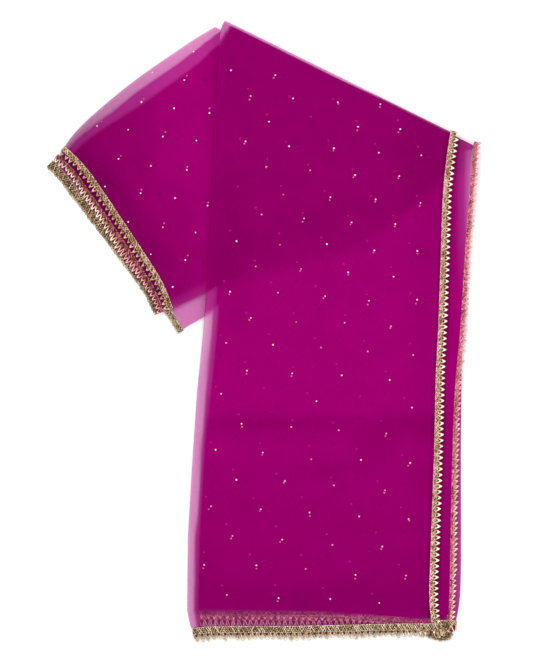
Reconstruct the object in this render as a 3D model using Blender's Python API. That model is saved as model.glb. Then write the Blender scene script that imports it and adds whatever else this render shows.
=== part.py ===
"""A folded dupatta stole of sheer net with looped gold lace along its edges, lying on a surface.

The strip is turned over once, along a slanting line at the top, so that it lies in two limbs: the rear
limb goes down to the left under the front limb. Sizes are in millimetres and become metres in slab().
+X is right, +Y runs up the front limb to the turn and +Z is up, off the surface.
"""

import math

import bpy
import numpy as np

for old in list(bpy.data.objects):
    bpy.data.objects.remove(old, do_unlink=True)

MM = 0.001
WALL = 1.0  # one drawn layer of cloth or lace
GAP = 0.3  # between pieces that touch or are sewn together
ROWS = 25  # stations along the front limb
REAR_ROWS = 13  # stations along the rear limb

# Heights of the tops of the layers above whatever the limb lies on
FRONT_TOP = 5.3
FRONT_SECOND = 4.0
FRONT_CORE = 2.7
REAR_TOP = 4.3
REAR_CORE = 3.0
LIFT = REAR_TOP + GAP  # how far the front limb is carried up where it crosses the rear limb
CLEAR = 14.0  # it is at its full height this far outside the rear limb's edge
CLIMB = 52.0  # and takes this long to get there

# ---------------------------------------------------------------- lines across the plan, y then x
left_fold = ((-277, -69), (-262, -70), (-249, -71.6), (-184, -70.7), (-119, -67), (-54, -62.6),
             (-1, -57.2), (47, -53.6), (119, -49), (191, -46.4), (245, -42.8), (275, -40))
top_layer_edge = ((-264, 148.5), (-248, 145.4), (-150, 149), (-97, 150.8), (-34, 152), (83, 157),
                  (119, 157.5), (150, 160.3), (182, 165))
second_layer_edge = ((-264, 161.5), (-250, 164), (-151, 165.8), (-106, 167), (-52, 168.7), (2, 174),
                     (83, 178.7), (130, 182.5), (170, 185.8))
under_fold = ((-264, 168.5), (-250, 173.5), (-217, 175), (-100, 174.5), (2, 175), (83, 177), (150, 178.5),
              (170, 179))

# Lines of the rear limb, x then y
rear_upper = ((-181.4, 167), (-176.9, 178.7), (-162.5, 193), (-145.4, 207.5), (-127.4, 222), (-107.6, 236.3),
              (-86, 250.7), (-64.4, 265), (-43, 273.8))
rear_end = ((-181.4, 167), (-173, 161), (-166.5, 154.5), (-157.3, 143.3), (-136, 111.8), (-113, 77),
            (-94, 48), (-85, 22))
rear_lower = ((-85, 22), (-55.4, 35.6), (-6, 60.8), (50, 82), (106.7, 105.8), (150, 135), (186, 162))

# Heights near the near end of the front limb, where each layer stops short of the one over it:
# y, underside of the top layer, underside of the second layer, top of the core
end_steps = ((-263.6, 2.3, 2.0, 1.9), (-254, 3.5, 2.1, 1.9), (-249, 3.8, 2.3, 1.9), (-236, 4.3, 3.0, 2.7))

# How far the layers sink towards a folded edge: distance in from the fold, drop
edge_drop = ((2, -0.9), (7, -0.65), (11, -0.4), (25, 0.0))


def column(table, index):
    return np.array([row[index] for row in table], float)


def at(table, value, index=1):
    return np.interp(value, column(table, 0), column(table, index))


def even(table, count, start=0.0, stop=1.0):
    """Points at even steps along the polyline through the table, between two shares of its length."""
    points = np.array(table, float)
    run = np.concatenate([[0], np.cumsum(np.hypot(*np.diff(points, axis=0).T))])
    steps = np.linspace(start, stop, count) * run[-1]
    return np.stack([np.interp(steps, run, points[:, 0]), np.interp(steps, run, points[:, 1])], axis=1)


def smooth(share):
    share = np.clip(share, 0, 1)
    return share * share * (3 - 2 * share)


def ground(points):
    """Height of what lies below the front limb: the surface, rising smoothly on to the rear limb."""
    x, y = points[..., 0], points[..., 1]
    edge = np.interp(x, column(rear_lower, 0), column(rear_lower, 1))
    out = (edge - y) * math.cos(math.radians(24)) - CLEAR
    return LIFT * smooth(1 - out / CLIMB)


def turn_line(x, inside=0.0):
    """y of the slanting line the strip is turned over, or of a line this far in from it."""
    return 279.2 - 0.4945 * (x + 34.7) - inside / math.cos(math.atan(0.4945))


# ---------------------------------------------------------------- solids
slots = {}
for slot, color, rough in (("net_cloth", (0.34, 0.0015, 0.145, 1), 0.6), ("gold_lace", (0.55, 0.38, 0.2, 1), 0.4)):
    slots[slot] = bpy.data.materials.new(slot)
    slots[slot].use_nodes = True
    shader = slots[slot].node_tree.nodes["Principled BSDF"]
    shader.inputs["Base Color"].default_value = color
    shader.inputs["Roughness"].default_value = rough

stole = bpy.data.collections.new("dupatta_stole")
bpy.context.scene.collection.children.link(stole)


def slab(name, upper, lower, slot):
    """A closed wall between two grids of points (rows, columns, xyz) with the same layout."""
    rows, columns = upper.shape[:2]
    index = np.arange(rows * columns).reshape(rows, columns)
    other = index + rows * columns
    faces = []
    for r in range(rows - 1):
        for c in range(columns - 1):
            a, b, d, e = index[r, c], index[r, c + 1], index[r + 1, c + 1], index[r + 1, c]
            faces += [(a, b, d), (a, d, e)]  # every layer's squares are split the same way
            a, b, d, e = (other[r, c], other[r, c + 1], other[r + 1, c + 1], other[r + 1, c])
            faces += [(d, b, a), (e, d, a)]
    rim = np.concatenate([index[0, :-1], index[:-1, -1], index[-1, :0:-1], index[:0:-1, 0]])
    for a, b in zip(rim, np.roll(rim, -1)):
        faces += [(b, a, a + rows * columns), (b, a + rows * columns, b + rows * columns)]
    points = np.concatenate([upper.reshape(-1, 3), lower.reshape(-1, 3)]) * MM
    mesh = bpy.data.meshes.new(name)
    mesh.from_pydata(points.tolist(), [], [tuple(int(i) for i in face) for face in faces])
    corners = points[np.array(faces)]
    if np.einsum("ij,ij->i", corners[:, 0], np.cross(corners[:, 1], corners[:, 2])).sum() < 0:
        mesh.flip_normals()  # the faces have to point outwards, whichever way the grid runs
    mesh.materials.append(slots[slot])
    piece = bpy.data.objects.new(name, mesh)
    stole.objects.link(piece)
    return piece


def raised(plan, height):
    return np.concatenate([plan, np.broadcast_to(height, plan.shape[:2])[..., None]], axis=2)


def folded(name, plan, top, floor, leg, turns=5):
    """A sheet over the plan whose first column is the start of a fold: it rounds down to the floor's
    height and comes back under itself for the length of the leg."""
    first = plan[:, 0]
    inward = plan[:, 1] - first
    inward = inward / np.linalg.norm(inward, axis=1, keepdims=True)
    radius = (top[:, 0] - floor) / 2
    sides = []
    for depth in (0.0, WALL):  # the outer face, then the inner one
        r = radius - depth
        strip = []
        for reach in (leg, leg / 2, leg * 0):
            strip.append(np.column_stack([first + inward * reach[:, None], floor + depth]))
        for k in range(1, turns):
            angle = math.pi * k / turns
            out = first - inward * (r * math.sin(angle))[:, None]
            strip.append(np.column_stack([out, floor + radius - r * math.cos(angle)]))
        flat = raised(plan, top - depth)
        sides.append(np.concatenate([np.stack(strip, axis=1), flat], axis=1))
    return slab(name, sides[0], sides[1], "net_cloth")


# ---------------------------------------------------------------- the front limb's plan
steps = np.linspace(0, 1, ROWS - 1)
COMMON = -236.0  # below this each layer has an end row of its own


def front_line(table, stop, end):
    """Points down one lengthwise line of the front limb: its own end rows first, then the shared rows."""
    y = np.concatenate([end, COMMON + steps * (stop - COMMON)])
    return np.stack([at(table, y), y], axis=1)


def front_plan(end, distances, shares, lines):
    """Columns at set distances in from the left fold, then at shares of the width, then along lines."""
    left = front_line(left_fold, 274.3, end)
    right = front_line(top_layer_edge, 171.0, end)
    across = right - left
    width = np.linalg.norm(across, axis=1, keepdims=True)
    columns = [left + across / width * d for d in distances]
    columns += [left + across * s for s in shares]
    for table, stop in lines:
        columns.append(front_line(table, stop, end))
    inset = np.array(list(distances) + [np.nan] * (len(shares) + len(lines)), float)
    return np.stack(columns, axis=1), np.where(np.isnan(inset), 100.0, inset)


shares = (0.2, 0.34, 0.48, 0.62, 0.76, 0.89)
edge_a = (top_layer_edge, 171.0)
edge_core = (((-264, 158.5), (-250, 161.5), (-151, 163.3), (-52, 166), (0, 167.5), (170, 168)), 170.8)
edge_b = (second_layer_edge, 161.3)

# Top layer of the front limb, with the outer lengthwise fold at its left
fold_in = 2.2
plan, inset = front_plan((-263.6, -254), (fold_in, 7, 11, 25), shares, (edge_a,))
drop = at(edge_drop, inset)[None, :] * np.ones(plan.shape[:2])
under = at(end_steps, plan[..., 1], 1)
top = ground(plan) + under + WALL + drop
folded("front_top_layer", plan, top, ground(plan)[:, 0], np.full(len(plan), 8.0))

# Second layer, wrong side up: it carries the lace that shows outside the top layer's
plan, inset = front_plan((-253.5,), (7, 11, 25), shares, (edge_a, edge_core, edge_b))
drop = at(edge_drop, inset)[None, :] * np.ones(plan.shape[:2])
low = ground(plan) + at(end_steps, plan[..., 1], 2) + drop
slab("front_second_layer", raised(plan, low + WALL), raised(plan, low), "net_cloth")

# Hidden layers of the front limb in one solid; the lengthwise fold shows along its right as a thin lip
plan, inset = front_plan((-249.0,), (11, 12.5, 25), shares, (edge_a, edge_core, (under_fold, 165.5)))
drop = at(edge_drop, inset)[None, :] * np.ones(plan.shape[:2])
above = at(end_steps, plan[..., 1], 3) + drop
below = np.zeros(plan.shape[:2])
above[:, 0] -= 0.5
below[:, 0] = 0.5
above[:, -1] = 1.5
below[:, -1] = 0.5
below[:, -2] = 0.0
above[0] -= 0.0
below[0] = 0.9
slab("front_core", raised(plan, ground(plan) + above), raised(plan, ground(plan) + below), "net_cloth")

# ---------------------------------------------------------------- the slanting turn at the top
turned = LIFT + FRONT_TOP
radius = turned / 2
along = np.array([-36.5, -33.0, -27, 0, 30, 60, 90, 120, 150, 175, 186.5, 190.5])
pulled = np.array([4.0, 1.2, 0, 0, 0, 0, 0, 0, 0, 0, 0.8, 2.5])  # the roll is rounded off at its two ends
slope = math.atan(0.4945)
inward = np.array([-math.sin(slope), -math.cos(slope)])
turn = []
for depth in (0.0, WALL):
    high = radius - depth
    wide = (np.minimum(radius, 6.3 - pulled) - depth)[:, None]
    outline = np.stack([along, turn_line(along)], axis=1) + pulled[:, None] * inward
    centre = outline + inward * (wide + depth)
    flat_end = np.stack([along, turn_line(along)], axis=1) + inward * (7.0 - GAP)
    strip = [np.column_stack([flat_end, np.full(len(along), depth)])]
    for k in range(0, 9):
        angle = math.pi * k / 8
        out = centre - inward * wide * math.sin(angle)
        strip.append(np.column_stack([out, np.full(len(along), radius - high * math.cos(angle))]))
    strip.append(np.column_stack([flat_end, np.full(len(along), turned - depth)]))
    turn.append(np.stack(strip, axis=1))
slab("slanting_turn", turn[0], turn[1], "net_cloth")


# ---------------------------------------------------------------- the rear limb's plan
def patch(upper, lower, end, turn, rows, shares):
    """A grid between four edges: rows from the end to the turn, columns from the upper edge to the lower."""
    u = np.array(shares)[None, :, None]
    v = np.linspace(0, 1, rows)[:, None, None]
    a, b = even(upper, rows)[:, None], even(lower, rows)[:, None]
    c = np.stack([np.interp(shares, np.linspace(0, 1, 200), even(end, 200)[:, k]) for k in (0, 1)], axis=1)[None]
    d = np.stack([np.interp(shares, np.linspace(0, 1, 200), even(turn, 200)[:, k]) for k in (0, 1)], axis=1)[None]
    corners = (1 - u) * (1 - v) * c[:, :1] + u * (1 - v) * c[:, -1:] + (1 - u) * v * d[:, :1] + u * v * d[:, -1:]
    return (1 - u) * a + u * b + (1 - v) * c + v * d - corners


def moved(line, away):
    """The line's points moved to the right of its direction by a distance, or by one for each point."""
    points = np.array(line, float)
    step = np.gradient(points, axis=0)
    step = step / np.linalg.norm(step, axis=1, keepdims=True)
    side = np.stack([step[:, 1], -step[:, 0]], axis=1)
    return points + side * np.broadcast_to(away, len(points))[:, None]


REAR_TURN = ((-42.5, 274.0), (186, 162))
rear_shares = (0, 0.035, 0.075, 0.12, 0.25, 0.4, 0.55, 0.7, 0.85, 1)
inner_upper = moved(rear_upper, 1.75)
plan = patch(inner_upper, rear_lower, np.vstack([inner_upper[:1], rear_end[1:]]),
             (tuple(inner_upper[-1]), REAR_TURN[1]), REAR_ROWS, rear_shares)
rear_ends = {"top": plan[0]}  # each layer's own end, for its lace
height = np.broadcast_to(np.array([3.5, 3.65, 3.95, 4.15] + [REAR_TOP] * 6), plan.shape[:2]).copy()
folded("rear_top_layer", plan, height, np.zeros(REAR_ROWS), np.full(REAR_ROWS, 8.0))

# How far out from the top layer's end the two layers under it stop: share of the way down the end,
# hidden layers, bottom layer
end_reach = ((0, 8.4, 16.8), (0.3, 9.4, 16.4), (0.5, 12.4, 14.2), (1, 12.4, 11.6))
down_end = np.linspace(0, 1, 9)
end_points = even(rear_end, 9)
core_stop = moved(end_points, at(end_reach, down_end))
under_stop = moved(end_points, at(end_reach, down_end, 2))

# Hidden layers of the rear limb: a thin lip inside the folded edge, then the full pile
core_upper = np.vstack([core_stop[:1] + (6.5, 5.5), moved(rear_upper, 9.5)[2:]])
core_lower = np.vstack([core_stop[-1:] + (1.0, -1.0), np.array(rear_lower[1:])])
core_end = np.vstack([core_upper[:1], core_stop[1:-1], core_lower[:1]])
plan = patch(core_upper, core_lower, core_end, (tuple(core_upper[-1]), tuple(core_lower[-1])), REAR_ROWS,
             rear_shares)
rear_ends["hidden"] = plan[0]
above = np.broadcast_to(np.array([2.1, 2.3, 2.5, 2.8] + [REAR_CORE] * 5 + [2.5]), plan.shape[:2]).copy()
above[0] = 2.3
below = np.broadcast_to(np.array([1.4] + [1.3] * 8 + [1.5]), plan.shape[:2]).copy()
slab("rear_core", raised(plan, above), raised(plan, below), "net_cloth")

# Bottom layer of the rear limb, and the fold that shows beyond its lower edge
seam_line = np.vstack([moved(rear_lower, -14.0)[1:-1], [(164, 160)]])
under_upper = np.vstack([under_stop[:1] + (8.0, -1.0), [(-162, 163)], moved(rear_upper, 13.0)[3:]])
under_lower = np.vstack([under_stop[-1:] + (-1.0, 6.0), seam_line])
under_end = np.vstack([under_upper[:1], under_stop[1:-1], under_lower[:1]])
plan = patch(under_upper, under_lower, under_end, (tuple(under_upper[-1]), tuple(under_lower[-1])), 9,
             (0, 0.2, 0.4, 0.6, 0.8, 1))
rear_ends["bottom"] = plan[0]
slab("rear_under_layer", raised(plan, WALL), raised(plan, 0.0), "net_cloth")

# plan of the lower fold: outer edge, then where its upper ply stops against the hidden layers
lower_outer = ((-75.5, 4.2), (-55.7, 15), (-6, 44), (50, 70), (100, 93))
lower_inner = ((-84.6, 19.6), (-55.4, 35.1), (-6, 60.3), (50, 81.5), (100, 102))
outer, inner = even(lower_outer, 9), even(lower_inner, 9)
plan = np.stack([outer, (outer * 2 + inner) / 3, inner * (1 - 0.02) + outer * 0.02], axis=1)
reach = np.linalg.norm(inner - outer, axis=1) + np.minimum(1.0 + 4.0 * np.arange(9), 9.0)
rear_ends["lower fold"] = plan[0, ::-1]
folded("rear_lower_fold", plan, np.full(plan.shape[:2], 2.3), np.zeros(9), reach)


# ---------------------------------------------------------------- the laces
def lace(name, line, width, inner, outer, floor=0.0):
    """A wall along a cloth's edge, to the right of the line's direction: its underside goes from the inner
    height, beside the cloth, to the outer one."""
    line = np.array(line, float)
    columns, heights = [], []
    for share in (0, 0.5, 1):
        columns.append(moved(line, GAP + np.broadcast_to(width, len(line)) * share))
        heights.append(np.broadcast_to(inner, len(line)) * (1 - share) + np.broadcast_to(outer, len(line)) * share)
    plan, low = np.stack(columns, axis=1), np.stack(heights, axis=1) + floor
    slab(name, raised(plan, low + WALL), raised(plan, low), "gold_lace")


top_line = front_line(top_layer_edge, 168.8, (-263.6, -254))
second_line = front_line(second_layer_edge, 161.3, (-253.5,))
line = top_line[1:]
lace("long_edge_lace_top", line, 8.2, at(end_steps, line[:, 1], 1) + ground(line),
     at(end_steps, line[:, 1], 1) + ground(moved(line, 8.2)) + 0.1)
line = second_line
lace("long_edge_lace_second", line, 7.0, at(end_steps, line[:, 1], 2) + ground(line),
     at(end_steps, line[:, 1], 2) + ground(moved(line, 7.0)) - 0.7)

bottom = ((-69.5, -263.6), (-40, -263.6), (-5, -263.6), (30, -263.6), (65, -263.6), (100, -263.6), (130, -263.6),
          (156, -263.6))
lace("end_lace_front_top", bottom, 13.2, 2.2, 0.0)
bottom = tuple((x, -253.5) for x in (-58, -20, 20, 60, 100, 140, 168))
lace("end_lace_front_second", bottom, 14.2, 2.0, 0.0)
bottom = tuple((x, -249.0) for x in (-58, -20, 20, 60, 100, 140, 162))
lace("end_lace_front_under", bottom, 9.6, 0.9, 0.0)

lace("end_lace_rear_top", rear_ends["top"], 8.0, 3.3, 2.8)
lace("end_lace_rear_second", rear_ends["hidden"], 6.6, 1.3, 1.3)
lace("end_lace_rear_under", rear_ends["bottom"], np.linspace(8.6, 6.0, len(rear_ends["bottom"])), 0.0, 0.0)
lace("end_lace_lower_fold", rear_ends["lower fold"], 6.0, 0.6, 0.6)

for piece in stole.objects:
    print(piece.name, len(piece.data.polygons))
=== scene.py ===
# %% [markdown]
# # A folded net dupatta with looped gold lace
#
# A dupatta is a long stole: one rectangle of sheer net, about 2.25 m by 0.94 m, bound on its four sides
# with metallic lace. This one is folded in four along its length and in three across it. The narrow strip
# is then turned over once on a slant, so that a rear limb runs down to the left from under the front limb.
#
# Everything here follows from how net behaves. Two plies over a pale table look light pink, four look rose,
# and twelve look deep magenta. So the folded edges are modelled as real see-through plies that run round
# the fold, and the hidden layers are one solid pile inside them.

# %% Load the measured model
import math

import bpy
import numpy as np
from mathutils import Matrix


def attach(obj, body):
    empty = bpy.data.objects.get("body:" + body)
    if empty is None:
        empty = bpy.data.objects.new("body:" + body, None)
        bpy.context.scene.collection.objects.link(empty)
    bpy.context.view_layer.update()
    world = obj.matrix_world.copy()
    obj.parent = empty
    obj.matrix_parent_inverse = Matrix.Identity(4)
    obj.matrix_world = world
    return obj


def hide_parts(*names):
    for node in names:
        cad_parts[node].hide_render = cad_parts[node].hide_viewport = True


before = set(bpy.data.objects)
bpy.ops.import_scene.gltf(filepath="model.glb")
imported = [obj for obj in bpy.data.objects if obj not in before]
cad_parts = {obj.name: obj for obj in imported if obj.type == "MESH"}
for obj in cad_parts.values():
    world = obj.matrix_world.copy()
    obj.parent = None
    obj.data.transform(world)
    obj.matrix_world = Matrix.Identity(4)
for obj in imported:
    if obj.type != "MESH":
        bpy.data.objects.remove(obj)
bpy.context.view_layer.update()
MM = 0.001
rng = np.random.default_rng(11)

# %% [markdown]
# ## Meshes from arrays
#
# Each piece is a grid of points worked out as whole arrays, in millimetres. One helper turns such a grid
# into quads and another puts the arrays into a mesh, with the cloth's own flat coordinates as its UV map,
# so that a weave follows the cloth round its folds, and with named marks on its points for the materials
# to read.



# %% Grid and mesh helpers
def grid_quads(rows, columns, closed=False):
    """Quads of a grid of points stored row by row; closed joins the last column to the first."""
    r, c = np.meshgrid(np.arange(rows - 1), np.arange(columns if closed else columns - 1), indexing="ij")
    d = (c + 1) % columns
    here, after = r * columns, (r + 1) * columns
    return np.stack([here + c, here + d, after + d, after + c], axis=2).reshape(-1, 4)


def piece_from(name, points, quads, finish, cut=None, marks=None):
    """A smooth-shaded mesh from points in millimetres. cut is its UV map, marks are numbers on its points."""
    mesh = bpy.data.meshes.new(name)
    mesh.vertices.add(len(points))
    mesh.vertices.foreach_set("co", (np.asarray(points, float) * MM).ravel())
    mesh.loops.add(quads.size)
    mesh.loops.foreach_set("vertex_index", quads.ravel())
    mesh.polygons.add(len(quads))
    mesh.polygons.foreach_set("loop_start", np.arange(0, quads.size, 4))
    mesh.update(calc_edges=True)
    mesh.polygons.foreach_set("use_smooth", np.ones(len(quads), bool))
    if cut is not None:
        layer = mesh.uv_layers.new(name="cut")
        layer.data.foreach_set("uv", (np.asarray(cut, float) * MM)[quads.ravel()].ravel())
    for mark, values in (marks or {}).items():
        carried = mesh.attributes.new(mark, "FLOAT", "POINT")
        carried.data.foreach_set("value", np.asarray(values, float).ravel())
    mesh.materials.append(finish)
    made = bpy.data.objects.new(name, mesh)
    bpy.context.scene.collection.objects.link(made)
    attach(made, "root")
    return made


def facing(points, quads):
    """The quads, turned over if most of them face down."""
    a, b, c = points[quads[:, 0]], points[quads[:, 1]], points[quads[:, 3]]
    return quads if np.cross(b - a, c - a)[:, 2].sum() > 0 else quads[:, ::-1]


def smooth(share):
    """0 before 0, 1 after 1, and an S-curve, 3s^2 - 2s^3, between."""
    share = np.clip(share, 0, 1)
    return share * share * (3 - 2 * share)


def along(table, value, column=1):
    """A column of a short table, read between its rows; the first column is what it depends on."""
    rows = np.array(table, float)
    return np.interp(value, rows[:, 0], rows[:, column])


def even(points, count, start=0.0, stop=1.0):
    """Points at even steps along a polyline, between two shares of its length."""
    points = np.array(points, float)
    run = np.concatenate([[0], np.cumsum(np.linalg.norm(np.diff(points, axis=0), axis=1))])
    steps = np.linspace(start, stop, count) * run[-1]
    return np.stack([np.interp(steps, run, points[:, k]) for k in range(points.shape[1])], axis=1)


def eased(points, count, passes=3):
    """A polyline resampled finely, with each point moved to the mean of its neighbours a few times."""
    fine = even(points, count)
    reach = max(1, count // 24)
    for _ in range(passes):
        before, after = 2 * fine[:1] - fine[reach:0:-1], 2 * fine[-1:] - fine[-2:-reach - 2:-1]
        padded = np.concatenate([before, fine, after])
        sums = np.cumsum(np.concatenate([np.zeros((1, fine.shape[1])), padded]), axis=0)
        fine = (sums[2 * reach + 1:] - sums[:-2 * reach - 1]) / (2 * reach + 1)
    return fine


def moved(line, away):
    """The line's points moved to the right of its direction by a distance, or by one for each point."""
    step = np.gradient(line, axis=0)
    step = step / np.linalg.norm(step, axis=1, keepdims=True)
    return line + np.stack([step[:, 1], -step[:, 0]], axis=1) * np.broadcast_to(away, len(line))[:, None]


print("a grid of 3 by 3 points has", len(grid_quads(3, 3)), "quads")


# %% [markdown]
# ## The lines of the fold
#
# These are the same lengthwise lines and heights as in the measured model, in millimetres. The front limb
# is described across its width from the folded left edge, and by its depth below the top ply. A ply that
# lies deeper keeps the same shape, so no two plies can cut through each other, even where the limb climbs
# over the rear limb or goes round the slanting turn.

# %% Lines and heights shared by every ply
# y, x of the lengthwise lines of the front limb
left_fold = ((-277, -63), (-270, -66), (-262, -69), (-249, -71.4), (-184, -70.7), (-119, -67), (-54, -62.6),
             (-1, -57.2), (47, -53.6), (119, -49), (191, -46.4), (245, -42.8), (262, -42.6), (275, -40),
             (290, -36))
top_edge = ((-280, 150), (-264, 148.0), (-248, 145.4), (-150, 149), (-97, 150.8), (-34, 152), (2, 154.2),
            (83, 157), (119, 157.5), (150, 160.3), (182, 165), (200, 168))
second_edge = ((-280, 160), (-264, 161.5), (-250, 164), (-151, 165.8), (-106, 167), (-52, 168.7), (2, 174),
               (83, 178.7), (130, 182.5), (170, 185.8), (190, 187))
pile_edge = ((-264, 158.5), (-250, 161.5), (-151, 163.3), (-52, 165.5), (0, 166.5), (170, 168), (190, 168))
lip_edge = ((-271, 166.5), (-267, 169.5), (-260, 172.3), (-250, 173.7), (-217, 175), (-100, 174.8), (2, 176),
            (83, 178.5), (130, 181.8), (166, 184.8))
# x, y of the rear limb's edges
rear_upper = ((-183.5, 169), (-176.9, 178.7), (-162.5, 193), (-145.4, 207.5), (-127.4, 222), (-107.6, 236.3),
              (-86, 250.7), (-64.4, 265), (-46.5, 275.2))
rear_end = ((-181.4, 168), (-173, 161), (-166.5, 154.5), (-157.3, 143.3), (-136, 111.8), (-113, 77),
            (-94, 48), (-87, 32), (-84, 22))
lower_outer = ((-75, 3.6), (-55.7, 15), (-6, 44), (50, 70), (100, 93), (190, 150))
rear_lower = ((-84, 22), (-55.4, 35.6), (-6, 60.8), (50, 82), (106.7, 105.8), (150, 135), (186, 162))

REAR_HEIGHT = 4.3  # of the rear limb's top ply above the table
REAR_SLOPE = math.radians(24)  # roughly that of the rear limb's lower edge
LIFT = 4.6  # height of the front limb's underside where it lies on the rear limb
CLEAR = 14.0  # the front limb is fully up this far below the rear limb's lower edge
CLIMB = 52.0  # it climbs over this distance
TOP_PLY = 5.3  # height of the top ply above whatever the front limb lies on
MID_LIMB = 30.0  # so far in from the fold, the top ply has its full height
TURN_FALL = 0.4945  # how far the line of the turn falls for each millimetre to the right
TURN_SLOPE = math.atan(TURN_FALL)
TURN_OUT = np.array([math.sin(TURN_SLOPE), math.cos(TURN_SLOPE)])
TURN_RADIUS = (LIFT + TOP_PLY) / 2


def turn_line(x, inside=0.0):
    """y of the straight slanting line of the turn, or of a line that lies this far inside it."""
    return 279.6 - TURN_FALL * (x + 34.7) - inside / math.cos(TURN_SLOPE)


def lift(x, y):
    """Height of what the front limb lies on: an S-curve up on to the rear limb."""
    edge = along(rear_lower, x)
    return LIFT * smooth(1 - ((edge - y) * math.cos(REAR_SLOPE) - CLEAR) / CLIMB)


print("the turn is at", round(math.degrees(TURN_SLOPE), 1), "degrees and its radius is", TURN_RADIUS, "mm")

# %% [markdown]
# ## Creases
#
# Net that has been folded and stacked keeps a few long, shallow creases. Each one below is a straight
# trough or ridge with soft ends, placed one by one. The same table also carries painted shade and light:
# how much darker the cloth is coloured along a trough, and how much lighter along a ridge.

# %% Creases of the front limb
# centre x, centre y, direction in degrees, half length, half width, rise, darker by (painted shade; below 0,
# painted light)
front_creases = (
    (10, -83, -2, 66, 7, -0.50, 0.055),
    (4, -66, -2, 74, 13, 0.30, -0.010),
    (118, -92, 24, 40, 16, -0.55, 0.090),
    (70, -118, 18, 46, 12, -0.30, 0.045),
    (96, -142, 12, 44, 12, 0.35, -0.025),
    (-22, -100, 4, 34, 10, 0.30, -0.020),
    (52, -172, -8, 60, 13, -0.22, 0.015),
    (24, -204, 3, 66, 12, 0.22, -0.010),
    (40, -236, -2, 100, 13, -0.30, 0.050),
    (128, 30, 86, 100, 12, 0.20, -0.005),
    (-20, 128, 84, 90, 12, -0.18, 0.015),
    (52, 150, -24, 60, 14, 0.22, -0.018),
    (126, 158, -40, 26, 12, -0.25, 0.055),
    (110, 96, 22, 40, 11, 0.20, -0.020),
    (20, 92, 24, 64, 12, -0.30, 0.050),
    (-24, 74, 26, 26, 13, -0.25, 0.050),
    (-29, 26, 86, 30, 14, -0.05, 0.070),
)


def crease_field(table, x, y):
    """(rise, painted shade) at points: each crease is its rise times exp(-across^2) times a soft end."""
    rise, shade = np.zeros_like(x), np.zeros_like(x)
    for cx, cy, angle, half_long, half_wide, up, darker in table:
        a = math.radians(angle)
        lengthways = (x - cx) * math.cos(a) + (y - cy) * math.sin(a)
        across = (y - cy) * math.cos(a) - (x - cx) * math.sin(a)
        across = across + 3.0 * np.sin(lengthways / 23.0 + cx)
        weight = np.exp(-(across / half_wide) ** 2) * smooth(1.35 - np.abs(lengthways) / half_long)
        rise, shade = rise + up * weight, shade + darker * weight
    return rise, shade


# y, height of the top ply above the table; how much of its full depth a lower ply keeps
near_end = ((-290, 1.2, 0.15), (-272, 1.6, 0.2), (-263.6, 3.2, 0.45), (-254, 4.6, 0.75), (-236, TOP_PLY, 1.0))
edge_drop = ((0, -0.95), (4, -0.8), (11, -0.4), (25, 0.0))  # distance in from the fold, drop


def top_height(x, y, inset):
    """Height of the top ply's outer face over a plan point that lies this far in from the fold."""
    rise, _ = crease_field(front_creases, x, y)
    calm = smooth((y + 262) / 24) * smooth(inset / 16)
    return lift(x, y) + along(near_end, y) + along(edge_drop, inset) + rise * calm


def depth_share(y):
    """How much of its full depth below the top ply a lower ply keeps, down to the near end."""
    return along(near_end, y, 2)


print("front creases", len(front_creases), "and the top ply is", TOP_PLY, "mm above what it lies on")


# %% [markdown]
# %% [markdown]
# ## One rule for every ply of the front limb
#
# A ply is a grid. Its rows follow each other along the limb from the near end, over the slanting turn and
# a little way back underneath. Its columns start under the folded left edge, come round the fold and cross
# to a lengthwise edge. Each column has a distance in from the outline and a depth below the ply's own outer
# face, and the turn is a half circle whose radius is the turn's own less that depth.

# %% The front limb's plies
FRONT_RUN = 540.0  # flat length of the front limb, for the weave
TUCKED = 9.0  # how far a ply goes on below the turn
LOWEST = 0.12  # no ply of the front limb comes closer to the table than this
HALF_CIRCLE = np.linspace(math.pi, 0, 9)[None, :]  # the angles of the columns round a fold


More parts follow.
